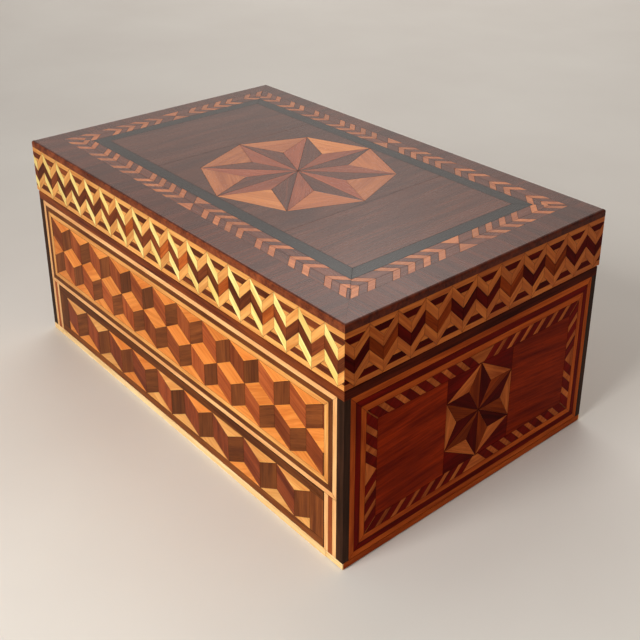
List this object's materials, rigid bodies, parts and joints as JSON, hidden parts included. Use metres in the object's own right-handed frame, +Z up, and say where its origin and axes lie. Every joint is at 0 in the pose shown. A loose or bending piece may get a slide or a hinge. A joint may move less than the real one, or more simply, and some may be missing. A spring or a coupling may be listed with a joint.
{
  "type": "wooden puzzle box",
  "caption": "Rectangular marquetry box with a hinged lid, a secret drawer, a sliding plinth strip and two hidden sliding bolts.",
  "frame": {"origin": "centre of the bounding box at the resting surface", "axes": "+X along the long side towards the end with the sliding strip, -Y towards the drawer front, +Z up"},
  "size_m": [0.3, 0.1924, 0.137],
  "materials": {
    "brass": "aged brushed brass",
    "ebonised_wood": "black stained wood, waxed",
    "rosewood": "dark rosewood, waxed to a soft gloss",
    "marquetry": "cut veneers of boxwood, satinwood, mahogany and rosewood, waxed to a soft gloss",
    "mahogany": "mahogany veneer, waxed to a soft gloss",
    "boxwood": "pale yellow boxwood, waxed",
    "cedar": "plain cedar, matt",
    "ground_wood": "plain planed softwood and walnut boards"
  },
  "bodies": {
    "base": {"back_board": "ground_wood", "back_marquetry": "marquetry", "base_screws": "brass", "bolt_keeper": "brass", "bottom_board": "ground_wood", "cap_back": "rosewood", "cap_front": "rosewood", "cap_left": "rosewood", "cap_right": "rosewood", "corner_posts": "ebonised_wood", "drawer_guide_left": "ground_wood", "drawer_guide_right": "ground_wood", "dust_board": "ground_wood", "front_board": "ground_wood", "front_marquetry": "marquetry", "front_stile_left": "ground_wood", "front_stile_right": "ground_wood", "hinge_base_leaf_left": "brass", "hinge_base_leaf_right": "brass", "hinge_pins": "brass", "left_board": "ground_wood", "left_marquetry": "marquetry", "lining_back": "cedar", "lining_front": "cedar", "lining_left": "cedar", "lining_right": "cedar", "plinth_back": "mahogany", "plinth_front": "boxwood", "plinth_left": "mahogany", "right_board": "ground_wood", "right_marquetry": "marquetry"},
    "lid": {"hinge_lid_leaf_left": "brass", "hinge_lid_leaf_right": "brass", "lid_band_back": "marquetry", "lid_band_front": "marquetry", "lid_band_left": "marquetry", "lid_band_right": "marquetry", "lid_border": "rosewood", "lid_catch": "brass", "lid_chevron_banding": "marquetry", "lid_field": "mahogany", "lid_line": "ebonised_wood", "lid_lining": "cedar", "lid_rail_back": "ground_wood", "lid_rail_front": "ground_wood", "lid_rail_left": "ground_wood", "lid_rail_right": "ground_wood", "lid_screws": "brass", "lid_star": "marquetry", "lid_top_board": "ground_wood"},
    "drawer": {"drawer_front": "ground_wood", "drawer_marquetry": "marquetry", "drawer_side_left": "ground_wood", "drawer_side_right": "ground_wood", "drawer_back": "ground_wood", "drawer_bottom": "ground_wood"},
    "strip": {"sliding_strip": "mahogany"},
    "drawer_lock": {"drawer_bolt": "brass"},
    "lid_lock": {"lid_bolt": "brass"}
  },
  "joints": [
    {"name": "lid_hinge", "type": "hinge", "parent": "base", "child": "lid", "pos_m": [0, 0.0942, 0.10315], "axis": [-1, 0, 0], "range_deg": [0, 100]},
    {"name": "drawer_slide", "type": "slide", "parent": "base", "child": "drawer", "axis": [0, -1, 0], "range_m": [0, 0.12]},
    {"name": "strip_slide", "type": "slide", "parent": "base", "child": "strip", "axis": [0, -1, 0], "range_m": [0, 0.04]},
    {"name": "drawer_lock_slide", "type": "slide", "parent": "base", "child": "drawer_lock", "axis": [1, 0, 0], "range_m": [0, 0.0062]},
    {"name": "lid_lock_slide", "type": "slide", "parent": "base", "child": "lid_lock", "axis": [1, 0, 0], "range_m": [0, 0.008]}
  ]
}
